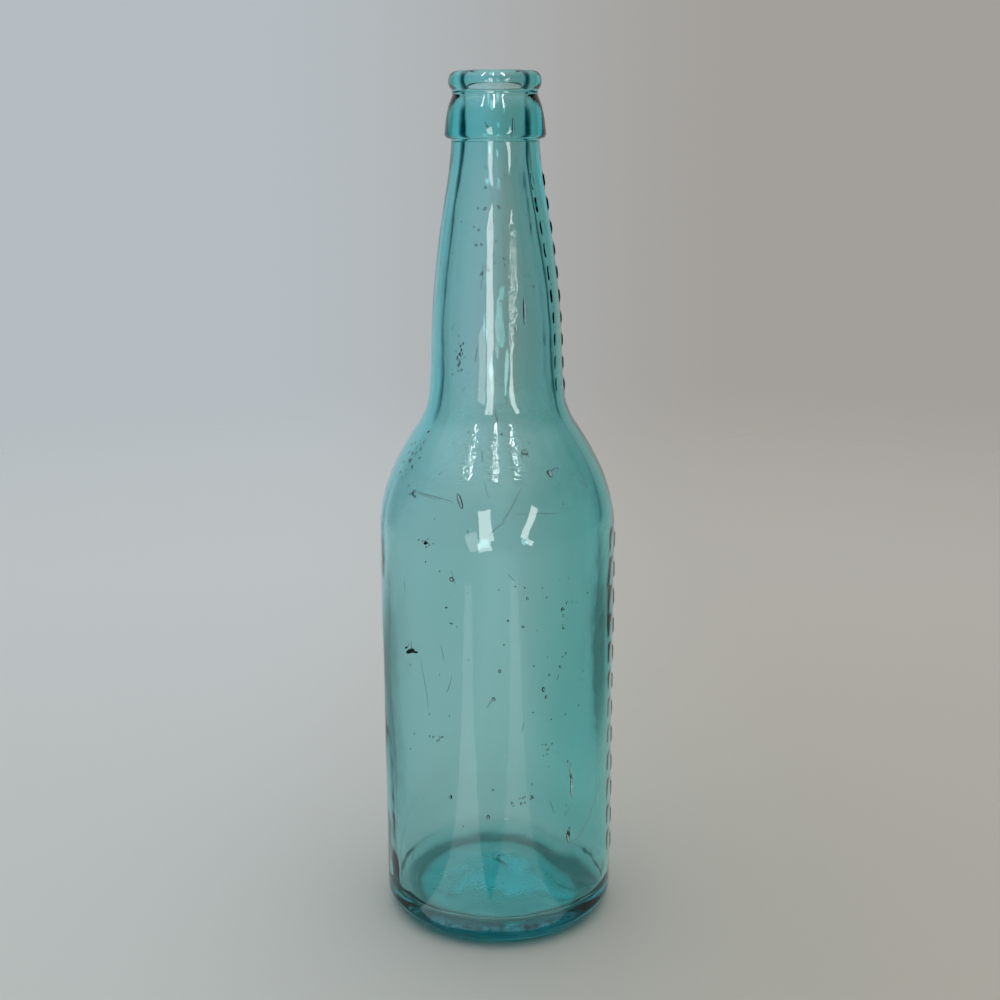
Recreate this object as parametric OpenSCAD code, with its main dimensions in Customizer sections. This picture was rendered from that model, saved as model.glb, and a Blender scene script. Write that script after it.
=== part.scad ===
// Crown-top glass beer bottle, empty and without its cap.
// One piece of blown glass: a straight body on a rounded heel, a sloping
// shoulder, a full neck that draws in towards the top, and a crown finish
// whose lip bead takes a 26 mm crown cap.
// Millimetres. The bottle stands on z = 0 with its axis on Z.

/* [Whole bottle] */
// Height from the table to the top of the lip
height = 252.5; // [210:0.5:303]
// Diameter of the straight body
body_d = 70; // [58:1:84]

/* [Shoulder and neck] */
// Height of the shoulder, from the straight body to the foot of the neck
shoulder_h = 39.5; // [32:0.5:48]
// Height of the neck, from its foot to the underside of the crown finish
neck_h = 72.7; // [58:0.1:88]
// Diameter of the neck at its foot
neck_foot_d = 39.8; // [32:0.2:48]
// Diameter of the neck right below the crown finish
neck_top_d = 25; // [22:0.2:26]

/* [Crown finish] */
// Diameter of the lip bead that the crown cap grips
lip_d = 26.2; // [25.6:0.1:27]
// Diameter of the reinforcing ring below the lip
ring_d = 28.8; // [27.6:0.1:34.6]
// Diameter of the bore through the finish
bore_d = 17.2; // [14.2:0.1:18]
// Height of the lip bead
lip_h = 5.4; // [4.4:0.1:6.5]
// Height of the reinforcing ring
ring_h = 11.9; // [9.8:0.1:14.4]

/* [Glass] */
// Wall of the straight body
wall = 3.2; // [2.4:0.1:4.8]
// Thickness of the bottom above the bearing ring
bottom_t = 7; // [5:0.1:9]
// Height of the hollow under the bottom
push_up = 2; // [1:0.1:4]
// Height of the mound of glass in the middle of the floor
mound = 5.5; // [4:0.1:8]

/* [Raised bars on the side] */
// How far the bars stand out of the glass
bar_relief = 0.4; // [0.3:0.1:1]
// Width of each bar around the bottle
bar_w = 4; // [3:0.5:12]
// Number of bars up the straight body
body_bars = 12; // [3:1:15]
// Number of bars up the neck
neck_bars = 10; // [2:1:12]

/* [Hidden] */
$fn = 96;

// Clearances and edges that tie the sizes together
groove_h = 1;            // gap between ring and lip bead
ring_edge = 1.4;         // rounding of the ring's lower edge
mouth_edge = 0.9;        // rounding inside the mouth
bearing_w = 2;           // width of the ring that touches the table
heel_h = 6.7;            // height of the rounded heel
heel_w = 8.7;            // how far the heel rounds in
inner_heel_h = 4.5;      // rounding inside, between wall and floor
inner_heel_w = 4.5;
lip_bulge = 1.9;         // depth of the bead's round face
bar_root = 1.5;          // how deep a bar is rooted in the wall
bar_margin = 8;          // plain glass above and below a ladder of bars

// Radii
body_r = body_d / 2;
foot_r = neck_foot_d / 2;
top_r = neck_top_d / 2;
ring_r = ring_d / 2;
lip_r = lip_d / 2;
bore_r = bore_d / 2;
groove_r = lip_r - 1.1;
bearing_r = body_r - heel_w;
push_r = bearing_r - bearing_w;

// Heights
finish_z = height - lip_h - groove_h - ring_h;
foot_z = finish_z - neck_h;
shoulder_z = foot_z - shoulder_h;

// The side above the straight body, as stations
// [height, outer radius, slope of the radius, thickness of the wall]
bend_r = foot_r + (body_r - foot_r) * 0.25;
belly_r = foot_r - (foot_r - top_r) * 0.13;
steep_r = top_r + (foot_r - top_r) * 0.3;
SIDE = [
    [shoulder_z,                     body_r,   0,    wall],
    [shoulder_z + shoulder_h * 0.77, bend_r,  -0.69, wall + 1],
    [foot_z,                         foot_r,  -0.12, wall + 0.4],
    [foot_z + neck_h * 0.23,         belly_r, -0.03, wall + 0.2],
    [foot_z + neck_h * 0.75,         steep_r, -0.165, wall + 0.4],
    [finish_z,                       top_r,   -0.03, top_r - bore_r],
];

// Cubic from one radius and slope to the next, t from 0 to 1 over a rise dz
function blend(r0, s0, r1, s1, dz, t) =
    let (t2 = t * t, t3 = t2 * t)
    (2 * t3 - 3 * t2 + 1) * r0 + (t3 - 2 * t2 + t) * s0 * dz
    + (3 * t2 - 2 * t3) * r1 + (t3 - t2) * s1 * dz;

// One stretch of the side between two stations; inner = 1 takes off the wall
function stretch(a, b, steps, inner) = [
    for (i = [1 : steps])
        let (t = i / steps, dz = b[0] - a[0])
        [
            blend(a[1], a[2], b[1], b[2], dz, t)
            - inner * blend(a[3], 0, b[3], 0, dz, t),
            a[0] + t * dz
        ]
];

function side(inner) = [
    for (k = [0 : len(SIDE) - 2])
        each stretch(SIDE[k], SIDE[k + 1], 9, inner)
];

// Quarter-round and other arcs of an ellipse, from angle a0 to a1
function arc(cr, cz, rr, rz, a0, a1, steps) = [
    for (i = [0 : steps])
        let (a = a0 + (a1 - a0) * i / steps)
        [cr + rr * cos(a), cz + rz * sin(a)]
];

// A shallow dome, from its edge to the middle
function dome(edge_r, edge_z, rise, steps) = [
    for (i = [0 : steps])
        let (t = i / steps)
        [edge_r * (1 - t), edge_z + rise * (1 - cos(180 * t)) / 2]
];

function reversed(points) = [for (i = [len(points) - 1 : -1 : 0]) points[i]];

// Heel and side of the glass up to the finish; grow moves it outwards
function outer_side(grow) = concat(
    arc(body_r - heel_w, heel_h, heel_w + grow, heel_h, -90, 0, 10),
    [[body_r + grow, shoulder_z]],
    [for (p = side(0)) [p[0] + grow, p[1]]]
);

// Crown finish: ring, groove, lip bead and the rounded mouth
function finish() = let (
    ring_top = finish_z + ring_h,
    taper_z = finish_z + ring_edge,
    lip_z = height - lip_h / 2,
    lip_a = asin(-sqrt(1 - pow((groove_r - lip_r + lip_bulge) / lip_bulge, 2)))
) concat(
    arc(ring_r - ring_edge, taper_z, ring_edge, ring_edge, -90, 0, 6),
    [for (i = [1 : 9]) [
        blend(ring_r, -0.1, groove_r, -0.5, ring_top - taper_z, i / 9),
        taper_z + (ring_top - taper_z) * i / 9
    ]],
    arc(lip_r - lip_bulge, lip_z, lip_bulge, lip_h / 2, lip_a, 90, 12),
    arc(bore_r + mouth_edge, height - mouth_edge, mouth_edge, mouth_edge, 90, 180, 5)
);

// Inside of the glass, from the bore down to the middle of the floor
function inside() = concat(
    reversed(side(1)),
    [[body_r - wall, shoulder_z]],
    reversed(arc(body_r - wall - inner_heel_w, bottom_t + inner_heel_h,
        inner_heel_w, inner_heel_h, -90, 0, 10)),
    dome(body_r - wall - inner_heel_w - 1, bottom_t, mound, 12)
);

module glass() {
    rotate_extrude()
        polygon(concat(
            reversed(dome(push_r, 0, push_up, 10)),
            outer_side(0),
            finish(),
            inside()
        ));
}

// A band of glass that follows the side, from bar_root inside it to
// bar_relief outside it
module band() {
    rotate_extrude()
        polygon(concat(outer_side(bar_relief), reversed(outer_side(-bar_root))));
}

// Places of the bars in a ladder between two heights
module ladder(low, high, count) {
    pitch = (high - low) / count;
    for (i = [0 : count - 1])
        translate([0, -bar_w / 2, low + (i + 0.25) * pitch])
            cube([body_r + 2 * bar_relief, bar_w, pitch / 2]);
}

module bars() {
    intersection() {
        band();
        union() {
            ladder(heel_h + bar_margin, shoulder_z, body_bars);
            ladder(foot_z, finish_z - bar_margin, neck_bars);
        }
    }
}

module bottle() {
    color("mediumturquoise", 0.6)
        union() {
            glass();
            bars();
        }
}

bottle();
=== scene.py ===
# %% [markdown]
# # A crown-top beer bottle in old turquoise glass
# The real bottle was blown into an iron mould and left in one piece: a straight body, a sloping shoulder, a
# full neck and a crown finish. Everything that the eye reads as "glass" comes from three things: the true
# inside and outside surfaces, glass that drinks red light along the way, and what stands around the bottle
# to be bent and mirrored. The frame comes first, because every size below hangs on it.

# %% Load the frame
import math
import random

import bpy
import numpy as np
from mathutils import Euler, Matrix, Vector


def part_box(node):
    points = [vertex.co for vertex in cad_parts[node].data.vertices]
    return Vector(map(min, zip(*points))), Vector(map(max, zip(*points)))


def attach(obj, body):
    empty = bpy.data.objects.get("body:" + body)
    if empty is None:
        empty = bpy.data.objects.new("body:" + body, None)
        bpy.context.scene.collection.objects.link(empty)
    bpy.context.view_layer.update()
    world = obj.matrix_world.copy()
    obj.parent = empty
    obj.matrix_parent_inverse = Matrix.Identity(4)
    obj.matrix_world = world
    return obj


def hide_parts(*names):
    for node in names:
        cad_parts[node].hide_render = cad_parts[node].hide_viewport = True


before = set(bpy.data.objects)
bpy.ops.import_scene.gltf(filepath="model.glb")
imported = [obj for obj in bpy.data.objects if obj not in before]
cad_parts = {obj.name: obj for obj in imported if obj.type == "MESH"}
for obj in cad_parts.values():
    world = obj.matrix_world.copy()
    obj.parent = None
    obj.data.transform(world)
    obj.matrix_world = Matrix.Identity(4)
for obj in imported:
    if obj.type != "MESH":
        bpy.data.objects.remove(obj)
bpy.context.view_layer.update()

MM = 0.001
low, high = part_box("bottle")
HEIGHT = high.z / MM
BODY_R = -low.x / MM
print(f"bottle: {HEIGHT:.1f} mm tall, body {2 * BODY_R:.1f} mm across")

# %% [markdown]
# ## Small helpers
# Colours are easiest to pick as sRGB hex, but the renderer works in linear light, so one function turns one
# into the other. Materials are built from nodes, and a function that adds any node with its settings and
# links keeps each material short. The last helper makes a smooth mesh object from vertices and puts it in the
# scene.

# %% Helpers
def linear(hex_colour):
    """An sRGB hex colour as linear RGBA."""
    parts = [int(hex_colour[i:i + 2], 16) / 255 for i in (1, 3, 5)]
    return tuple(c / 12.92 if c <= 0.04045 else ((c + 0.055) / 1.055) ** 2.4 for c in parts) + (1.0,)


def add_node(tree, kind, inputs=None, **settings):
    """A new node; inputs hold plain values or the sockets that feed them."""
    made = tree.nodes.new(kind)
    for name, value in settings.items():
        setattr(made, name, value)
    for name, value in (inputs or {}).items():
        if isinstance(value, bpy.types.NodeSocket):
            tree.links.new(value, made.inputs[name])
        else:
            made.inputs[name].default_value = value
    return made


def new_material(name):
    """An empty node material and its output node."""
    material = bpy.data.materials.new(name)
    material.use_nodes = True
    material.node_tree.nodes.clear()
    return material, add_node(material.node_tree, "ShaderNodeOutputMaterial")


def new_object(name, vertices, faces, material):
    """A smooth mesh object from vertices in metres."""
    mesh = bpy.data.meshes.new(name)
    mesh.from_pydata(vertices.tolist() if hasattr(vertices, "tolist") else vertices, [], faces)
    mesh.polygons.foreach_set("use_smooth", [True] * len(mesh.polygons))
    mesh.materials.append(material)
    mesh.update()
    made = bpy.data.objects.new(name, mesh)
    bpy.context.scene.collection.objects.link(made)
    return made

# %% [markdown]
# ## The camera
# The eye is level with the crown finish, so the mouth is a straight line, and the heel far below it is a
# wide curve. That look needs the right distance, not only the right lens: the camera stands less than twice
# the bottle's height away and tips down 14 degrees. It is made before the bottle, so that each piece can be
# judged from it.

# %% Camera
CAMERA_BACK = 0.4204
CAMERA_UP = 0.2343
CAMERA_RIGHT = 0.0009
TIP_DOWN = math.radians(14)
ROLL = math.radians(-0.26)
LENS = 52.2

camera_data = bpy.data.cameras.new("camera")
camera_data.lens = LENS
camera_data.sensor_width = 36
camera = bpy.data.objects.new("camera", camera_data)
camera.matrix_world = (
    Matrix.Translation((CAMERA_RIGHT, -CAMERA_BACK, CAMERA_UP))
    @ Euler((math.pi / 2 - TIP_DOWN, 0, 0)).to_matrix().to_4x4()
    @ Matrix.Rotation(ROLL, 4, "Z")
)
bpy.context.scene.collection.objects.link(camera)
bpy.context.scene.camera = camera
print(f"camera {math.hypot(CAMERA_BACK, CAMERA_UP - HEIGHT * MM / 2):.2f} m from the bottle")

# %% [markdown]
# ## The outline of the glass
# A bottle is a turned shape, so its form is one outline that goes round: up the outside, over the lip and
# down the inside. The outline follows the CAD model's stations. Between two stations the radius runs along
# a cubic that keeps the slope at both ends, which gives the long soft curves that a mould maker files by
# eye.

# %% Outline
SHOULDER_H, NECK_H = 39.5, 72.7
NECK_FOOT_R, NECK_TOP_R = 19.9, 12.5
LIP_R, LIP_H, LIP_BULGE = 13.1, 5.4, 1.9
RING_R, RING_H, RING_EDGE = 14.4, 11.9, 1.4
GROOVE_H, GROOVE_DEPTH = 1, 1.1
BORE_R, MOUTH_EDGE = 8.6, 0.9
WALL, BOTTOM_T, PUSH_UP, MOUND = 3.2, 7, 2, 5.5
HEEL_H, HEEL_W, BEARING_W = 6.7, 8.7, 2
INNER_HEEL_H, INNER_HEEL_W = 4.5, 4.5

finish_z = HEIGHT - LIP_H - GROOVE_H - RING_H
foot_z = finish_z - NECK_H
shoulder_z = foot_z - SHOULDER_H
bend_r = NECK_FOOT_R + (BODY_R - NECK_FOOT_R) * 0.25
belly_r = NECK_FOOT_R - (NECK_FOOT_R - NECK_TOP_R) * 0.13
steep_r = NECK_TOP_R + (NECK_FOOT_R - NECK_TOP_R) * 0.3

# height, outer radius, slope of the radius, wall
SIDE = [
    (shoulder_z, BODY_R, 0, WALL),
    (shoulder_z + SHOULDER_H * 0.77, bend_r, -0.69, WALL + 1),
    (foot_z, NECK_FOOT_R, -0.12, WALL + 0.4),
    (foot_z + NECK_H * 0.23, belly_r, -0.03, WALL + 0.2),
    (foot_z + NECK_H * 0.75, steep_r, -0.165, WALL + 0.4),
    (finish_z, NECK_TOP_R, -0.03, NECK_TOP_R - BORE_R),
]


def blend(r0, s0, r1, s1, rise, t):
    """The cubic from radius r0 with slope s0 to radius r1 with slope s1."""
    return (
        (2 * t**3 - 3 * t**2 + 1) * r0 + (t**3 - 2 * t**2 + t) * s0 * rise
        + (3 * t**2 - 2 * t**3) * r1 + (t**3 - t**2) * s1 * rise
    )


def side(step, inner):
    """Points up the side from the shoulder's start; inner takes off the wall."""
    points = []
    for (z0, r0, s0, w0), (z1, r1, s1, w1) in zip(SIDE, SIDE[1:]):
        count = math.ceil((z1 - z0) / step)
        for i in range(1, count + 1):
            t = i / count
            wall = blend(w0, 0, w1, 0, z1 - z0, t) if inner else 0
            points.append((blend(r0, s0, r1, s1, z1 - z0, t) - wall, z0 + t * (z1 - z0)))
    return points


def arc(cr, cz, rr, rz, start, end, count):
    """Part of an ellipse between two angles in degrees, start left out."""
    angles = [math.radians(start + (end - start) * i / count) for i in range(1, count + 1)]
    return [(cr + rr * math.cos(a), cz + rz * math.sin(a)) for a in angles]


def straight(r0, z0, r1, z1, count):
    """Evenly spaced points on a line, start left out."""
    return [(r0 + (r1 - r0) * i / count, z0 + (z1 - z0) * i / count) for i in range(1, count + 1)]


def dome(edge_r, edge_z, rise, count):
    """The shallow dome of the bottom, from its edge towards the middle, edge left out."""
    return [
        (edge_r * (1 - i / count), edge_z + rise * (1 - math.cos(math.pi * i / count)) / 2)
        for i in range(1, count + 1)
    ]


push_r = BODY_R - HEEL_W - BEARING_W
floor_r = BODY_R - WALL - INNER_HEEL_W
ring_z = finish_z + RING_EDGE
ring_top = finish_z + RING_H
groove_r = LIP_R - GROOVE_DEPTH
lip_start = math.degrees(math.asin(-math.sqrt(1 - ((groove_r - LIP_R + LIP_BULGE) / LIP_BULGE) ** 2)))

OUTER_STEP, INNER_STEP = 0.85, 1.9
underside = dome(push_r, 0, PUSH_UP, 26)[::-1] + [(push_r, 0)] + straight(push_r, 0, BODY_R - HEEL_W, 0, 3)
heel = arc(BODY_R - HEEL_W, HEEL_H, HEEL_W, HEEL_H, -90, 0, 20)
body = straight(BODY_R, HEEL_H, BODY_R, shoulder_z, round((shoulder_z - HEEL_H) / OUTER_STEP))
ring = (
    straight(NECK_TOP_R, finish_z, RING_R - RING_EDGE, finish_z, 2)
    + arc(RING_R - RING_EDGE, ring_z, RING_EDGE, RING_EDGE, -90, 0, 8)
    + [
        (blend(RING_R, -0.1, groove_r, -0.5, ring_top - ring_z, i / 14), ring_z + (ring_top - ring_z) * i / 14)
        for i in range(1, 15)
    ]
)
lip = (
    arc(LIP_R - LIP_BULGE, HEIGHT - LIP_H / 2, LIP_BULGE, LIP_H / 2, lip_start - 4, 90, 20)
    + straight(LIP_R - LIP_BULGE, HEIGHT, BORE_R + MOUTH_EDGE, HEIGHT, 3)
    + arc(BORE_R + MOUTH_EDGE, HEIGHT - MOUTH_EDGE, MOUTH_EDGE, MOUTH_EDGE, 90, 180, 7)
)
outside = underside + heel + body + side(OUTER_STEP, False) + ring + lip
bore = straight(BORE_R, HEIGHT - MOUTH_EDGE, BORE_R, finish_z, 9)
inside = (
    bore
    + side(INNER_STEP, True)[-2::-1]
    + [(BODY_R - WALL, shoulder_z)]
    + straight(BODY_R - WALL, shoulder_z, BODY_R - WALL, BOTTOM_T + INNER_HEEL_H, 46)
    + arc(floor_r, BOTTOM_T + INNER_HEEL_H, INNER_HEEL_W, INNER_HEEL_H, 0, -90, 16)
    + straight(floor_r, BOTTOM_T, floor_r - 1, BOTTOM_T, 2)
    + dome(floor_r - 1, BOTTOM_T, MOUND, 28)
)
print(f"outline: {len(outside)} points outside, {len(inside)} inside")

# %% [markdown]
# ## Hand-made unevenness
# Old glass is never even. The parison was thicker on one side, so the inside wanders while the mould keeps
# the outside true. Long waves are made here as sums of cosines with whole numbers of waves round the
# bottle, so that they close on themselves. A noise texture would do for bump, but refraction needs the real
# surface to move.

# %% Waves
AROUND = 160
around = np.arange(AROUND) * 2 * math.pi / AROUND
around = around - 0.35 * np.sin(around)      # more columns on the side with the bars


def waves(seed, angle, z, most_round, shortest, count):
    """Smooth unevenness of about unit size over angle and height."""
    rng = np.random.default_rng(seed)
    total = np.zeros(np.broadcast(angle, z).shape)
    for _ in range(count):
        turns = rng.integers(0, most_round + 1)
        rise = rng.uniform(-1, 1) * 2 * math.pi / shortest
        total += np.cos(turns * angle + rise * z + rng.uniform(0, 2 * math.pi))
    return total / math.sqrt(count / 2)


def ease(low_edge, high_edge, x):
    """0 below low_edge, 1 above high_edge, smooth between."""
    t = np.clip((x - low_edge) / (high_edge - low_edge), 0, 1)
    return t * t * (3 - 2 * t)

# %% [markdown]
# ## The side bars
# The mould's lettering panel holds two ladders of plain bars instead, one up the body and one up the neck.
# Each bar stands 0.4 mm out with softly melted edges, because hot glass never fills a sharp corner of the
# mould.

# %% Bars
BAR_RELIEF, BAR_W, BAR_EDGE, BAR_MARGIN = 0.4, 4, 0.7, 8
BODY_BARS, NECK_BARS = 12, 10


def ladder(z, start, end, count):
    """1 on the bars of a ladder between two heights, 0 between them, with soft edges."""
    pitch = (end - start) / count
    place = (z - start) / pitch
    across = np.abs(place - np.floor(place) - 0.5) * pitch
    bar = 1 - ease(pitch / 4 - BAR_EDGE / 2, pitch / 4 + BAR_EDGE / 2, across)
    return bar * (z > start) * (z < end)


def bars(angle, z, radius):
    """How far the bars lift the outside, in mm."""
    sideways = np.abs(np.arctan2(np.sin(angle), np.cos(angle))) * radius
    width = 1 - ease(BAR_W / 2 - BAR_EDGE / 2, BAR_W / 2 + BAR_EDGE / 2, sideways)
    ladders = (
        ladder(z, HEEL_H + BAR_MARGIN, shoulder_z, BODY_BARS)
        + ladder(z, foot_z, finish_z - BAR_MARGIN, NECK_BARS)
    )
    return BAR_RELIEF * width * ladders

# %% [markdown]
# ## The glass skin
# The outline is swept round the axis as one closed skin. Each point first moves along the outline's own
# normal by the unevenness above. The outside moves a tenth of a millimetre, the inside up to two. The front
# and back of the neck are thinner than its sides, since blowing stretched them more. Near both edges of the
# view the wall keeps one thickness: where it grows along a ray's way, the ray is trapped in the wall and
# the edge turns black.

# %% Sweep
def normals(points):
    """Unit normals of an outline that goes up the outside and down the inside."""
    step = np.gradient(np.array(points, float), axis=0)
    turned = np.stack([step[:, 1], -step[:, 0]], axis=1)
    return turned / np.maximum(np.linalg.norm(turned, axis=1, keepdims=True), 1e-9)


def uneven_wall(angle, z):
    """How much thicker the wall is than the plan, in mm: thin on the left and thick on the right."""
    turned = np.degrees(np.abs(np.arctan2(np.sin(angle), np.cos(angle))))     # 0 on the right, 180 on the left
    lean = -0.4 + 0.8 * ease(150, 75, turned) + 1.5 * ease(80, 46, turned) - 0.3 * ease(44, 0, turned)
    lean = lean * (1 - 0.6 * ease(shoulder_z - 10, foot_z, z)) * (0.8 + 0.2 * ease(110, 60, z))
    thin_neck = 0.8 * ease(foot_z - 22, foot_z + 6, z) * ease(30, 90, turned) * ease(150, 90, turned)
    long_waves = 0.12 * waves(3, angle, z, 3, 60, 8)
    streaks = 0.03 * waves(5, angle, z, 12, 300, 18) + 0.012 * waves(6, angle, z, 36, 60, 30)
    return lean - thin_neck + long_waves + streaks


def sweep(points, is_inside):
    """Vertices of the outline turned round the axis, in metres, with the unevenness added."""
    flat = np.array(points, float)
    out = normals(points)
    radius, z = flat[:, :1], flat[:, 1:]
    angle = around[None, :]
    off_axis = ease(0, 12, radius)
    in_finish = ease(finish_z - 12, finish_z, z)
    if is_inside:
        above_floor = ease(BOTTOM_T + 1, BOTTOM_T + 14, z)
        move = uneven_wall(angle, z) * above_floor * (1 - in_finish)
        across = radius * np.cos(angle)
        deep = radius * np.sin(angle)
        ripples = np.sin(across / 1.3 + 2 * np.sin(deep / 4)) + np.sin(deep / 1.7 + 1.5 * np.sin(across / 3))
        floor_bumps = 0.1 * ripples
        move = move + floor_bumps * (1 - above_floor) * off_axis
    else:
        soft = 0.05 * waves(7, angle, z, 4, 40, 10) + 0.008 * waves(8, angle, z, 30, 6, 30)
        move = soft * off_axis + bars(angle, z, radius) * (radius > NECK_TOP_R - 1)
        move = move * ease(0, HEEL_H, z)
    r = radius + out[:, :1] * move
    h = z + out[:, 1:] * move
    return np.stack([r * np.cos(angle), r * np.sin(angle), h], axis=-1) * MM


def close_skin(rows):
    """Quads between rows, with a fan at each end."""
    count, columns = rows.shape[:2]
    vertices = np.concatenate([rows[:1, 0], rows[1:-1].reshape(-1, 3), rows[-1:, 0]])
    index = 1 + np.arange((count - 2) * columns).reshape(count - 2, columns)
    ahead = np.roll(index, -1, axis=1)
    quads = np.stack([index[:-1], ahead[:-1], ahead[1:], index[1:]], axis=-1).reshape(-1, 4)
    start = [(0, b, a) for a, b in zip(index[0], ahead[0])]
    end = [(len(vertices) - 1, a, b) for a, b in zip(index[-1], ahead[-1])]
    return vertices, quads.tolist() + start + end


rows = np.concatenate([sweep(outside, False), sweep(inside, True)])
skin_vertices, skin_faces = close_skin(rows)
print(f"glass skin: {len(skin_vertices)} vertices, {len(skin_faces)} faces")

# %% [markdown]
# ## Seeds and checks in the glass
# Old glass is full of seeds, which are gas bubbles that the furnace never drove off, and of checks, which
# are thin cracks from handling. Both are air inside the wall, so each is a closed shell whose faces look
# inwards, and it joins the same mesh: a ray that meets it leaves the glass for air and comes back. Painted
# dots couldn't bend light, and the real ones do, which is why a seed reads as a dark ring with a bright
# middle. Places are given the way a glass inspector notes them: degrees round from the front, to the right,
# and mm up.

# %% Seeds and checks
OUTLINE_UP = np.array([p for p in outside if p[1] >= HEEL_H], float)


def on_glass(turn, up, depth):
    """A point in mm at a turn from the front and a height, so deep under the outer surface."""
    radius = np.interp(up, OUTLINE_UP[:, 1], OUTLINE_UP[:, 0]) - depth
    a = math.radians(turn - 90)
    return np.array([radius * math.cos(a), radius * math.sin(a), up])


def bubble(turn, up, width, length, lean=0.0, depth=1.6, flat=0.7):
    """Vertices and faces of one seed: an egg drawn out along the wall and leaned by some degrees."""
    columns, bands = (14, 9) if length > 1.5 else (8, 5)
    middle = on_glass(turn, up, depth)
    upward = on_glass(turn, up + 0.5, depth) - on_glass(turn, up - 0.5, depth)
    upward = upward / np.linalg.norm(upward)
    sideways = np.array([-math.sin(math.radians(turn - 90)), math.cos(math.radians(turn - 90)), 0])
    outward = np.cross(sideways, upward)
    c, s = math.cos(math.radians(lean)), math.sin(math.radians(lean))
    along, across = c * upward + s * sideways, c * sideways - s * upward
    points = [middle - along * length / 2]
    for i in range(1, bands):
        t = math.pi * i / bands
        for k in range(columns):
            a = 2 * math.pi * k / columns
            round_part = across * math.cos(a) * width / 2 + outward * math.sin(a) * width * flat / 2
            points.append(middle - along * math.cos(t) * length / 2 + round_part * math.sin(t))
    points.append(middle + along * length / 2)
    return np.array(points), tube_faces(bands - 1, columns)


def tube_faces(rings, columns):
    """Inward faces of a closed tube with a point at each end."""
    last = 1 + rings * columns
    faces = []
    for k in range(columns):
        n = (k + 1) % columns
        faces.append((0, 1 + k, 1 + n))
        faces.append((last, last - columns + n, last - columns + k))
        for r in range(rings - 1):
            a, b = 1 + r * columns, 1 + (r + 1) * columns
            faces.append((a + k, b + k, b + n, a + n))
    return faces


def check(path, width, depth=1.0, flat=0.5, columns=6, seed=0):
    """A thin crack or scratch along (turn, up) points, widest in its middle, with a slightly ragged edge."""
    rng = random.Random(seed)
    turns, ups = zip(*path)
    count = 6 * (len(path) - 1)
    t = np.linspace(0, len(path) - 1, count + 1)
    spine = np.array([on_glass(a, b, depth) for a, b in zip(np.interp(t, range(len(path)), turns),
                                                            np.interp(t, range(len(path)), ups))])
    points = [spine[0]]
    for i in range(1, count):
        ahead = spine[i + 1] - spine[i - 1]
        ahead = ahead / np.linalg.norm(ahead)
        outward = np.array([spine[i][0], spine[i][1], 0])
        outward = outward / np.linalg.norm(outward)
        across = np.cross(ahead, outward)
        size = width / 2 * math.sin(math.pi * i / count) ** 0.5 * rng.uniform(0.75, 1.15)
        for k in range(columns):
            a = 2 * math.pi * k / columns
            points.append(spine[i] + size * (across * math.cos(a) + outward * flat * math.sin(a)))
    points.append(spine[-1])
    return np.array(points), tube_faces(count - 1, columns)


shells = [
    bubble(-19, 136.5, 1.3, 4.6, lean=-24, depth=1.0),          # long open bubble on the shoulder
    bubble(27, 187.5, 1.0, 7.5, lean=1, depth=1.4, flat=0.5),  # drawn-out bubble in the neck
    bubble(-22, 114.5, 1.4, 1.5),
    bubble(1, 88, 1.0, 1.1), bubble(-2, 79.5, 1.1, 1.3, lean=-35), bubble(-4, 78, 0.5, 2.4, lean=35),
    bubble(22.5, 81.5, 1.0, 1.5), bubble(24, 79, 0.8, 1.1), bubble(-2.5, 51.5, 0.7, 0.7),
    bubble(-24, 48, 1.0, 1.4, lean=20), bubble(-5, 43, 1.1, 1.4), bubble(7, 47, 0.8, 1.8, lean=-25),
    bubble(4.5, 190.5, 0.6, 0.6), bubble(19, 182.5, 0.9, 0.9), bubble(-6, 159.5, 0.7, 0.8),
    bubble(-25, 106, 0.9, 0.6), bubble(-23, 101.5, 0.6, 0.6),
    bubble(5, 103, 0.6, 0.6), bubble(12, 101, 0.7, 0.7),
    bubble(33, 104.5, 0.7, 0.7), bubble(35, 72.5, 0.6, 0.6), bubble(31, 143, 1.5, 2.2, lean=-20, depth=0.8),
    check([(-47, 137.6), (-40, 137.2), (-31, 136.9), (-22, 136.2)], 0.35, depth=0.7, seed=1),
    check([(-46, 137), (-38, 136.6), (-30, 136.2)], 0.2, depth=0.9, seed=2),
    check([(38, 57), (37.6, 54), (38.6, 51), (38.2, 48), (40, 44.5)], 0.9, depth=0.8, flat=0.35, seed=3),
    check([(37.6, 36.6), (36.6, 34.6), (36.6, 33), (37.4, 31.4)], 1.5, depth=0.8, flat=0.3, seed=4),
    check([(17, 34.4), (22, 31.6), (27, 30), (33, 29.6), (39, 30.6), (45, 33), (51, 36.5), (57, 42), (63, 50)],
          0.32, depth=0.5, seed=5),
    check([(15.5, 147.6), (16.4, 149.2), (18.4, 149.4), (20.2, 147.8)], 0.9, depth=0.7, flat=0.4, seed=6),
    check([(-9.5, 150), (-9, 148.4), (-8.6, 146.6)], 0.5, depth=0.8, seed=7),
    check([(21.5, 240), (21.2, 237), (19.6, 234.8)], 0.8, depth=0.8, flat=0.5, seed=8),
    check([(-12, 238.8), (-8, 237), (-4, 236.4)], 0.5, depth=0.9, seed=9),
    check([(-22, 86), (-24, 82), (-25.4, 80.4)], 0.25, depth=0.7, seed=10),
    check([(-40, 90), (-38, 84), (-36, 78.5), (-35.4, 74)], 0.2, depth=0.6, seed=11),
    check([(34, 40), (36.5, 42.5), (38.6, 44)], 0.2, depth=0.6, seed=12),
    check([(2, 131), (6, 134), (10, 137.5), (13, 140)], 0.4, depth=0.7, seed=13),
    check([(-4, 127.5), (0, 130), (4, 131.5)], 0.35, depth=0.7, seed=14),
    check([(8, 133.5), (20, 133.2), (32, 132.6)], 0.18, depth=0.6, seed=15),
    check([(-1, 160.5), (0.6, 157.6), (0.2, 155)], 0.5, depth=0.8, seed=16),
]
seeds = random.Random(31)
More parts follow.
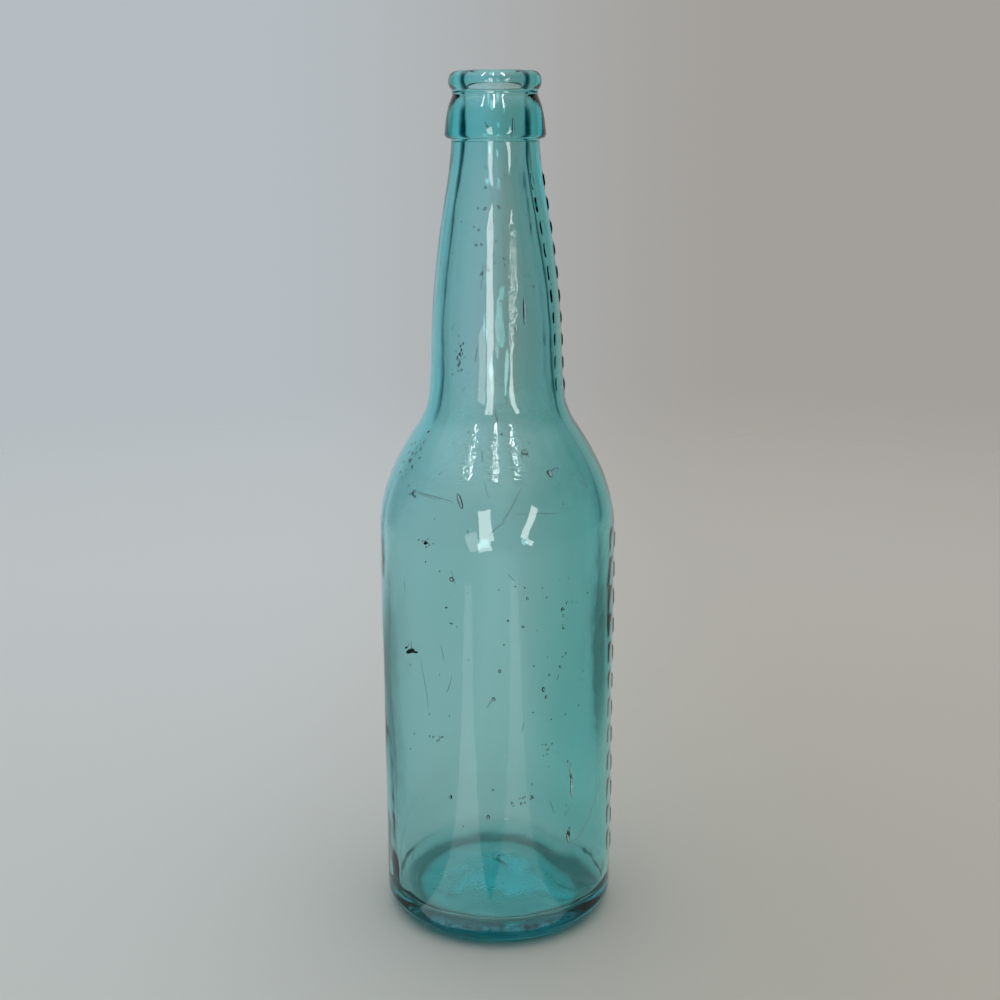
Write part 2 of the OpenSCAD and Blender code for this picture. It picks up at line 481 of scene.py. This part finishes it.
for _ in range(150):                       # fine seeds everywhere in the wall
    up = seeds.uniform(16, 231)
    size = 0.28 + 0.4 * seeds.random() ** 3
    shells.append(bubble(
        seeds.uniform(-180, 180), up, size, size * seeds.uniform(1, 1.7),
        lean=seeds.uniform(-25, 25), depth=seeds.uniform(0.7, 2.4),
    ))
for turn, up, spread_turn, spread_up, count in [   # clusters from one stirred-up spot in the pot
    (-33, 175.5, 4, 4.5, 22), (-62, 146, 9, 6, 26), (-7, 208, 14, 9, 22), (-37, 124.2, 3, 1, 8),
    (-49, 136.5, 3, 1.2, 8), (24, 62, 3, 6, 7), (12, 48, 4, 1.2, 8), (35, 92, 8, 14, 10), (-30, 66, 4, 1.4, 6),
]:
    for _ in range(count):
        size = seeds.uniform(0.3, 0.75)
        shells.append(bubble(
            turn + seeds.gauss(0, spread_turn * 0.6), up + seeds.gauss(0, spread_up * 0.6),
            size, size * seeds.uniform(1, 2),
            lean=seeds.uniform(-40, 40), depth=seeds.uniform(0.6, 1.6),
        ))

for _ in range(22):                        # hair-fine scratches from years of handling
    turn, up = seeds.uniform(-65, 60), seeds.uniform(22, 205)
    aside, rise = seeds.gauss(0, 2.5), seeds.uniform(1.5, 6)
    course = [(turn, up), (turn + aside, up + rise)]
    shells.append(check(course, seeds.uniform(0.14, 0.24), depth=0.5, columns=4))

glass_vertices, glass_faces = [skin_vertices], list(skin_faces)
start = len(skin_vertices)
for points, faces in shells:
    glass_vertices.append(points * MM)
    glass_faces += [tuple(start + i for i in face) for face in faces]
    start += len(points)
glass_vertices = np.concatenate(glass_vertices)
print(f"{len(shells)} seeds and checks; glass {len(glass_vertices)} vertices, {len(glass_faces)} faces")

# %% [markdown]
# ## The glass
# Soda-lime bottle glass, mould-blown and fire-polished: smooth, IOR 1.52, turquoise from a little copper
# and iron. The colour isn't painted on. The glass soaks up red over distance, so thin walls look pale, and
# the heel and the bottom, seen along a long path, look deep. A volume does this with true thickness, which
# a tinted surface can't.

# %% Glass material
GLASS_IOR = 1.52
CLEAR_THROUGH = linear("#91eff2")   # what is left of white after one length below
ONE_LENGTH = 0.011                   # metres of glass
SHOULDER_STREAKS = (-17, -1, 12)     # degrees right of the front


def old_bottle_glass():
    material, output = new_material("mould_blown_turquoise_glass")
    tree = material.node_tree
    place = add_node(tree, "ShaderNodeTexCoord").outputs["Object"]
    peel = add_node(tree, "ShaderNodeTexNoise", {"Vector": place, "Scale": 1 / (3 * MM), "Detail": 2.0})
    skin = add_node(tree, "ShaderNodeBump", {"Height": peel.outputs["Fac"], "Strength": 0.12,
                                             "Distance": 0.05 * MM})
    # Where the hot glass met a cold mould its skin wrinkled, at about a millimetre from crest to crest. The
    # attribute says where. The floor of the bottle is pebbly in the same way.
    wrinkles = add_node(tree, "ShaderNodeTexNoise", {"Vector": place, "Scale": 1 / (0.9 * MM), "Detail": 1.0})
    where = add_node(tree, "ShaderNodeAttribute", attribute_name="wrinkled").outputs["Fac"]
    height = add_node(tree, "ShaderNodeMath", {0: wrinkles.outputs["Fac"], 1: where}, operation="MULTIPLY")
    skin = add_node(tree, "ShaderNodeBump", {"Height": height.outputs["Value"], "Strength": 1.0,
                                             "Distance": 0.12 * MM, "Normal": skin.outputs["Normal"]})
    haze = add_node(tree, "ShaderNodeTexNoise", {"Vector": place, "Scale": 1 / (30 * MM), "Detail": 4.0})
    rough = add_node(tree, "ShaderNodeMapRange", {
        "Value": haze.outputs["Fac"], "From Min": 0.45, "From Max": 0.75, "To Min": 0.0, "To Max": 0.025,
    })
    surface = add_node(tree, "ShaderNodeBsdfPrincipled", {
        "Base Color": linear("#fcfcfc"), "Roughness": rough.outputs["Result"], "IOR": GLASS_IOR,
        "Transmission Weight": 1.0, "Normal": skin.outputs["Normal"],
    })
    # Absorption takes density times (1 - colour) from each metre.
    kept = [-math.log(c) / ONE_LENGTH for c in CLEAR_THROUGH[:3]]
    density = max(kept) / 0.97
    tint = tuple(1 - k / density for k in kept) + (1.0,)
    inside_glass = add_node(tree, "ShaderNodeVolumeAbsorption", {"Color": tint, "Density": density})
    tree.links.new(surface.outputs["BSDF"], output.inputs["Surface"])
    tree.links.new(inside_glass.outputs["Volume"], output.inputs["Volume"])
    print("glass takes per metre: " + ", ".join(f"{k:.0f}" for k in kept))
    return material


def wrinkled(points):
    """How wrinkled the skin is at each vertex: three streaks on the shoulder, one up the neck, the bottom."""
    x, y, z = (points / MM).T
    turned = np.degrees(np.arctan2(x, -y))
    spread = 1.6 - z / 250                 # the streaks run apart on their way down
    shoulder = sum(
        0.9 * ease(140, 145, z) * ease(158, 152, z) * ease(4.5, 2, np.abs(turned - middle * spread))
        for middle in SHOULDER_STREAKS
    )
    neck = ease(176, 186, z) * ease(214, 206, z) * ease(8, 12, turned) * ease(26, 20, turned)
    bottom = ease(15, 11.5, z) * ease(31.5, 29.5, np.hypot(x, y)) * ease(1.5, 4, z)
    return shoulder + neck + bottom


glass = new_object("bottle_glass", glass_vertices, glass_faces, old_bottle_glass())
glass.data.attributes.new("wrinkled", "FLOAT", "POINT").data.foreach_set("value", wrinkled(glass_vertices))
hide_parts("bottle")
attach(glass, "root")

# %% [markdown]
# ## Stones
# A few specks are not gas but solid: scale from an iron tool and crumbs of furnace brick, caught in the
# wall while it was soft. They are dark all through, so they are small lumps with their own matt material,
# just under the surface.

# %% Stones
def iron_scale():
    material, output = new_material("iron_scale_in_glass")
    tree = material.node_tree
    place = add_node(tree, "ShaderNodeTexCoord").outputs["Object"]
    crumbs = add_node(tree, "ShaderNodeTexNoise", {"Vector": place, "Scale": 1 / (0.5 * MM), "Detail": 3.0})
    colour = add_node(tree, "ShaderNodeMix", {"Factor": crumbs.outputs["Fac"]}, data_type="RGBA")
    colour.inputs["A"].default_value = linear("#0c0f10")
    colour.inputs["B"].default_value = linear("#231f1b")
    rough = add_node(tree, "ShaderNodeBump", {"Height": crumbs.outputs["Fac"], "Strength": 0.4,
                                              "Distance": 0.1 * MM})
    surface = add_node(tree, "ShaderNodeBsdfPrincipled", {
        "Base Color": colour.outputs["Result"], "Roughness": 0.7, "Normal": rough.outputs["Normal"],
    })
    tree.links.new(surface.outputs["BSDF"], output.inputs["Surface"])
    return material


stones = [
    bubble(-47, 90.4, 1.3, 4.2, lean=62, depth=0.9, flat=0.4),      # a long flake lying on its side
    bubble(-43.6, 90.6, 0.7, 2.6, lean=80, depth=0.9, flat=0.4),
    bubble(-50, 91, 0.5, 1.8, lean=60, depth=0.9, flat=0.5),
    check([(-49, 91), (-47.6, 93)], 0.18, depth=0.9, seed=21),
    check([(-46, 91), (-46.2, 94)], 0.18, depth=0.9, seed=22),
    bubble(17, 148.6, 0.5, 1.3, lean=-60, depth=1.0), bubble(19.4, 148.5, 0.5, 1.2, lean=50, depth=1.0),
    bubble(-35.6, 124, 0.8, 1.6, lean=70, depth=1.0), bubble(-48.4, 136.2, 0.5, 1.6, lean=-55, depth=1.0),
    bubble(37.4, 33.8, 0.5, 2.8, lean=-8, depth=1.4, flat=0.4),
    bubble(38.4, 52, 0.35, 3.4, lean=4, depth=1.3, flat=0.4),
    bubble(1, 88, 0.5, 0.5, depth=3.0), bubble(-71, 148, 0.5, 0.9, depth=1.0),
    bubble(-58, 152.5, 0.6, 1.0, lean=60, depth=1.0),
    bubble(-57, 143, 0.5, 1.2, lean=-30, depth=1.0), bubble(3.5, 153.8, 0.5, 0.9, lean=75, depth=1.0),
]
for turn, up in [                          # crumbs strewn through the front of the body
    (13, 112.5), (24, 109), (33.5, 104.5), (5, 103), (12.5, 101), (3, 96), (17.5, 89),
    (-36, 118.5), (-25, 106), (-22, 101.5), (49, 107.5), (22.5, 81), (26.5, 72), (-23.5, 48),
    (-17.5, 39.5), (17, 75), (-45.5, 65), (43, 74), (-28, 116.5), (8.5, 113),
]:
    stones.append(bubble(turn, up, 0.42, 0.5, depth=1.2))
stone_vertices, stone_faces, start = [], [], 0
for points, faces in stones:
    stone_vertices.append(points * MM)
    stone_faces += [tuple(start + i for i in reversed(face)) for face in faces]
    start += len(points)
flakes = new_object("stones_in_glass", np.concatenate(stone_vertices), stone_faces, iron_scale())
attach(flakes, "root")
print(f"{len(stones)} stones")

# %% [markdown]
# ## Floor
# A matt board that runs out of sight, so that the glass has something quiet to bend. A hard far edge would
# cut across the neck, so the board melts into the backdrop with distance: its surface mixes into a
# transparent one. The curved wall bends the board's two sides into the edges of the bottle, where they
# should look dark. So they are dimmed, but only for light that has met something on its way, and the board
# stays pale where the camera sees it directly.

# %% Floor
FLOOR_R = 1.1          # metres
FADE_FROM, FADE_TO = 0.35, 1.05
DIM_MIDDLE = 0.03      # the dim sides lie a little further out on the right
DIM_FROM, DIM_TO = 0.075, 0.15
DIM_SHARE = 0.6
GLOW_R = 0.027         # the patch under the bottle that light through the glass reaches
GLOW_FULL_R = GLOW_R * 0.8
GLOW_STRENGTH = 0.2
PAINTED_LIGHT_CROSSOVER = 0.13       # half the width over which the painted light turns from the paler cool left to the darker warm right
NEAR_SHADE_FROM, NEAR_SHADE_TO = 0.35, -0.2      # painted shade: the board turns a little darker and yellower towards the camera
NEARBY_FROM, NEARBY_TO = 0.34, 0.18  # the dim sides end this far behind the bottle


def matt_board():
    material, output = new_material("matt_pale_board")
    tree = material.node_tree
    place = add_node(tree, "ShaderNodeTexCoord").outputs["Object"]
    across = add_node(tree, "ShaderNodeSeparateXYZ", {"Vector": place}).outputs["X"]
    # Painted light: the board is paler and cooler on the left, where the light falls from, and darker and
    # warmer on the right.
    share = add_node(tree, "ShaderNodeMapRange", {
        "Value": across, "From Min": -PAINTED_LIGHT_CROSSOVER, "From Max": PAINTED_LIGHT_CROSSOVER,
    }, interpolation_type="SMOOTHSTEP")
    colour = add_node(tree, "ShaderNodeMix", {"Factor": share.outputs["Result"]}, data_type="RGBA")
    colour.inputs["A"].default_value = linear("#dce1e2")
    colour.inputs["B"].default_value = linear("#ccc8c0")
    # Painted shade: towards the camera the board is multiplied a little darker and yellower, as less room
    # light reaches it.
    deep = add_node(tree, "ShaderNodeSeparateXYZ", {"Vector": place}).outputs["Y"]
    near = add_node(tree, "ShaderNodeMapRange", {"Value": deep, "From Min": NEAR_SHADE_FROM, "From Max": NEAR_SHADE_TO})
    painted_near_shade = add_node(tree, "ShaderNodeMix", {"Factor": near.outputs["Result"]},
                    data_type="RGBA", blend_type="MULTIPLY")
    tree.links.new(colour.outputs["Result"], painted_near_shade.inputs["A"])
    painted_near_shade.inputs["B"].default_value = linear("#f6f6f0")
    # Off to both sides the board lies in the dim part of the room, which only the glass bends into view.
    from_middle = add_node(tree, "ShaderNodeMath", {0: across, 1: DIM_MIDDLE}, operation="SUBTRACT")
    aside = add_node(tree, "ShaderNodeMath", {0: from_middle.outputs["Value"]}, operation="ABSOLUTE")
    dim = add_node(tree, "ShaderNodeMapRange", {
        "Value": aside.outputs["Value"], "From Min": DIM_FROM, "From Max": DIM_TO, "To Max": DIM_SHARE,
    }, interpolation_type="SMOOTHSTEP")
    direct = add_node(tree, "ShaderNodeLightPath").outputs["Is Camera Ray"]
    bent = add_node(tree, "ShaderNodeMath", {0: 1.0, 1: direct}, operation="SUBTRACT")
    nearby = add_node(tree, "ShaderNodeMapRange", {
        "Value": deep, "From Min": NEARBY_FROM, "From Max": NEARBY_TO,
    }, interpolation_type="SMOOTHSTEP")
    share_bent = add_node(tree, "ShaderNodeMath", {0: bent.outputs["Value"], 1: nearby.outputs["Result"]},
                          operation="MULTIPLY")
    less = add_node(tree, "ShaderNodeMath", {0: dim.outputs["Result"], 1: share_bent.outputs["Value"]},
                    operation="MULTIPLY")
    shaded = add_node(tree, "ShaderNodeMix", {"Factor": less.outputs["Value"]}, data_type="RGBA")
    tree.links.new(painted_near_shade.outputs["Result"], shaded.inputs["A"])
    shaded.inputs["B"].default_value = linear("#1c2628")
    board = add_node(tree, "ShaderNodeBsdfPrincipled", {
        "Base Color": shaded.outputs["Result"], "Roughness": 0.85, "Specular IOR Level": 0.2,
    })
    distance = add_node(tree, "ShaderNodeVectorMath", {0: place}, operation="LENGTH").outputs["Value"]
    # Light that the glass gathers onto the table comes as a soft glow, since path tracing rarely finds it.
    under = add_node(tree, "ShaderNodeMapRange", {
        "Value": distance, "From Min": GLOW_R, "From Max": GLOW_FULL_R, "To Max": GLOW_STRENGTH,
    })
    tree.links.new(under.outputs["Result"], board.inputs["Emission Strength"])
    board.inputs["Emission Color"].default_value = linear("#66dcda")
    gone = add_node(tree, "ShaderNodeMapRange", {
        "Value": distance, "From Min": FADE_FROM, "From Max": FADE_TO,
    }, interpolation_type="SMOOTHSTEP")
    nothing = add_node(tree, "ShaderNodeBsdfTransparent")
    both = add_node(tree, "ShaderNodeMixShader", {0: gone.outputs["Result"], 1: board.outputs["BSDF"],
                                                  2: nothing.outputs["BSDF"]})
    tree.links.new(both.outputs["Shader"], output.inputs["Surface"])
    return material


turn = [2 * math.pi * i / 96 for i in range(96)]
floor = new_object("floor", [(FLOOR_R * math.cos(a), FLOOR_R * math.sin(a), 0.0) for a in turn],
                   [list(range(96))], matt_board())

# %% [markdown]
# ## The room
# Clear glass shows its room. Its pale middle is the backdrop straight behind it. Its dark edge lines are
# the room far out to the sides, which the curved wall bends into view. So the room is pale behind the
# bottle, dim at both sides and behind the camera, and bright overhead. The backdrop that the camera meets
# directly stays pale all round, so the bottle can be looked at from every side. What the glass pipes down
# from overhead is held back, as a shelf above the bottle would do.

# %% Room
SIDE_FROM, SIDE_TO = math.sin(math.radians(36)), math.sin(math.radians(62))   # where the sides grow dim
BACKDROP_TURN = 0.17   # half the width of the turn from cool to warm, in the direction's x
FRONT_TO = -0.35       # from here on, in the direction's y, the room behind the camera is dim
UP_FROM, UP_TO = 0.35, 0.8           # where the ceiling starts and is full, in the direction's z

world = bpy.data.worlds.new("soft_room")
bpy.context.scene.world = world
world.use_nodes = True
world.node_tree.nodes.clear()
tree = world.node_tree
direction = add_node(tree, "ShaderNodeTexCoord").outputs["Generated"]
axes = add_node(tree, "ShaderNodeSeparateXYZ", {"Vector": direction})
share = add_node(tree, "ShaderNodeMapRange", {"Value": axes.outputs["X"], "From Min": -BACKDROP_TURN,
                                              "From Max": BACKDROP_TURN}, interpolation_type="SMOOTHSTEP")
backdrop = add_node(tree, "ShaderNodeMix", {"Factor": share.outputs["Result"]}, data_type="RGBA")
backdrop.inputs["A"].default_value = linear("#b6bdc2")
backdrop.inputs["B"].default_value = linear("#a4a19c")
to_side = add_node(tree, "ShaderNodeMath", {0: axes.outputs["X"]}, operation="ABSOLUTE")
dim_share = add_node(tree, "ShaderNodeMapRange", {"Value": to_side.outputs["Value"], "From Min": SIDE_FROM,
                                                  "From Max": SIDE_TO}, interpolation_type="SMOOTHSTEP")
sides = add_node(tree, "ShaderNodeMix", {"Factor": dim_share.outputs["Result"]}, data_type="RGBA")
tree.links.new(backdrop.outputs["Result"], sides.inputs["A"])
sides.inputs["B"].default_value = linear("#2c3c40")
front_share = add_node(tree, "ShaderNodeMapRange", {
    "Value": axes.outputs["Y"], "From Min": 0.0, "From Max": FRONT_TO,
}, interpolation_type="SMOOTHSTEP")
around_us = add_node(tree, "ShaderNodeMix", {"Factor": front_share.outputs["Result"]}, data_type="RGBA")
tree.links.new(sides.outputs["Result"], around_us.inputs["A"])
around_us.inputs["B"].default_value = linear("#3c4245")
up_share = add_node(tree, "ShaderNodeMapRange", {
    "Value": axes.outputs["Z"], "From Min": UP_FROM, "From Max": UP_TO,
}, interpolation_type="SMOOTHSTEP")
ceiling = add_node(tree, "ShaderNodeMix", {"Factor": up_share.outputs["Result"]}, data_type="RGBA")
tree.links.new(around_us.outputs["Result"], ceiling.inputs["A"])
ceiling.inputs["B"].default_value = linear("#fdfeff")
path = add_node(tree, "ShaderNodeLightPath")
overhead = add_node(tree, "ShaderNodeMath", {
    0: up_share.outputs["Result"], 1: path.outputs["Is Transmission Ray"],
}, operation="MULTIPLY")
shade = add_node(tree, "ShaderNodeMix", {"Factor": overhead.outputs["Value"]}, data_type="RGBA")
tree.links.new(ceiling.outputs["Result"], shade.inputs["A"])
shade.inputs["B"].default_value = linear("#7c8a8d")
seen_directly = path.outputs["Is Camera Ray"]
room = add_node(tree, "ShaderNodeMix", {"Factor": seen_directly}, data_type="RGBA")
tree.links.new(shade.outputs["Result"], room.inputs["A"])
tree.links.new(backdrop.outputs["Result"], room.inputs["B"])
glow = add_node(tree, "ShaderNodeBackground", {"Color": room.outputs["Result"], "Strength": 1.0})
add_node(tree, "ShaderNodeOutputWorld", {"Surface": glow.outputs["Background"]})

# %% [markdown]
# ## Windows
# The long bright streaks are two windows behind the camera, mirrored in the curved wall. Each pane is an
# area light that the camera itself doesn't see, and that lights nothing matt, so the board keeps its soft
# even light. The upper panes and the curtain aren't seen through the glass either: their light would pass
# in, turn on the mound of the bottom and come out as bright spots on the body.

# %% Windows
WINDOW_DISTANCE = 0.62   # metres from the bottle's axis


def soft_light(name, width, height, radiance, through):
    """An area light of even radiance, unseen by the camera; through: seen through the glass as well."""
    data = bpy.data.lights.new(name, "AREA")
    data.shape = "RECTANGLE"
    data.size, data.size_y = width, height
    data.energy = radiance * math.pi * width * height
    lamp = bpy.data.objects.new(name, data)
    lamp.visible_camera = False
    lamp.visible_diffuse = False
    lamp.visible_transmission = through
    bpy.context.scene.collection.objects.link(lamp)
    return lamp


def window(name, azimuth, width, bottom, top, radiance, through):
    """A tall pane behind the camera; azimuth in degrees right of the camera, heights in metres."""
    lamp = soft_light(name, width, top - bottom, radiance, through)
    a = math.radians(azimuth)
    spot = Vector((WINDOW_DISTANCE * math.sin(a), -WINDOW_DISTANCE * math.cos(a), (top + bottom) / 2))
    lamp.location = spot
    lamp.rotation_euler = Vector((-spot.x, -spot.y, 0)).to_track_quat("-Z", "Z").to_euler()


window("left_pane_low", -11, 0.13, 0.02, 0.11, 6.5, through=True)
window("left_pane_high", -11, 0.13, 0.11, 0.38, 7.5, through=False)
window("left_curtain", -22, 0.12, 0.02, 0.19, 3, through=False)
window("right_pane_low", 30.5, 0.075, 0.06, 0.11, 8, through=True)
window("right_pane_high", 30.5, 0.075, 0.11, 0.38, 8.5, through=False)
print("windows: four panes and a curtain")

# %% [markdown]
# ## Ceiling strips
# Three narrow strips high up in front strike the wrinkled skin at the top of the shoulder, which breaks
# each of them into sparks. A strip's mirror image lies halfway round to it, so each strip hangs at twice
# its streak's angle.

# %% Ceiling strips
STRIP_DISTANCE = 0.75    # metres from the point they lean over
STRIP_LOW, STRIP_HIGH = math.radians(36), math.radians(64)   # above level
STRIP_AIM = Vector((0, 0, 0.15))


def strip(name, azimuth, width, radiance):
    """A narrow light that leans over the bottle; azimuth in degrees right of the camera."""
    length = 2 * STRIP_DISTANCE * math.tan((STRIP_HIGH - STRIP_LOW) / 2)
    lamp = soft_light(name, width, length, radiance, through=False)
    a, up = math.radians(azimuth), (STRIP_LOW + STRIP_HIGH) / 2
    away = Vector((math.sin(a) * math.cos(up), -math.cos(a) * math.cos(up), math.sin(up)))
    lamp.location = STRIP_AIM + STRIP_DISTANCE * away
    lamp.rotation_euler = (STRIP_AIM - lamp.location).to_track_quat("-Z", "Y").to_euler()


for name, azimuth in (("strip_left", -34), ("strip_middle", -2), ("strip_right", 24)):
    strip(name, azimuth, 0.03, 30)
print("three ceiling strips")

# %% [markdown]
# ## Light on the table
# Each window also lays a pale patch on the table in front of the bottle. The upright wall mirrors the
# patches as two faint bands down the body, which is where the eye reads the body as round.

# %% Light on the table
PATCH_NEAR, PATCH_FAR = 0.04, 0.4   # metres from the bottle's axis


def table_patch(name, azimuth, width, radiance):
    """A flat patch of light on the table, facing up."""
    lamp = soft_light(name, width, PATCH_FAR - PATCH_NEAR, radiance, through=False)
    a = math.radians(azimuth)
    middle = (PATCH_NEAR + PATCH_FAR) / 2
    lamp.location = (middle * math.sin(a), -middle * math.cos(a), 2 * MM)
    lamp.rotation_euler = Euler((math.pi, 0, math.pi + a))


table_patch("left_patch", -27, 0.042, 0.95)
table_patch("right_patch", 16, 0.045, 0.7)
print("two patches of light on the table")

# %% [markdown]
# ## Picture
# Standard keeps the colours as they were picked. The black level takes away the thin grey veil that every
# bright room lays over clear glass, as a camera does.

# %% Picture
BLACK_LEVEL = 0.008
bpy.context.scene.view_settings.use_curve_mapping = True
bpy.context.scene.view_settings.curve_mapping.black_level = (BLACK_LEVEL,) * 3
bpy.context.scene.view_settings.view_transform = "Standard"
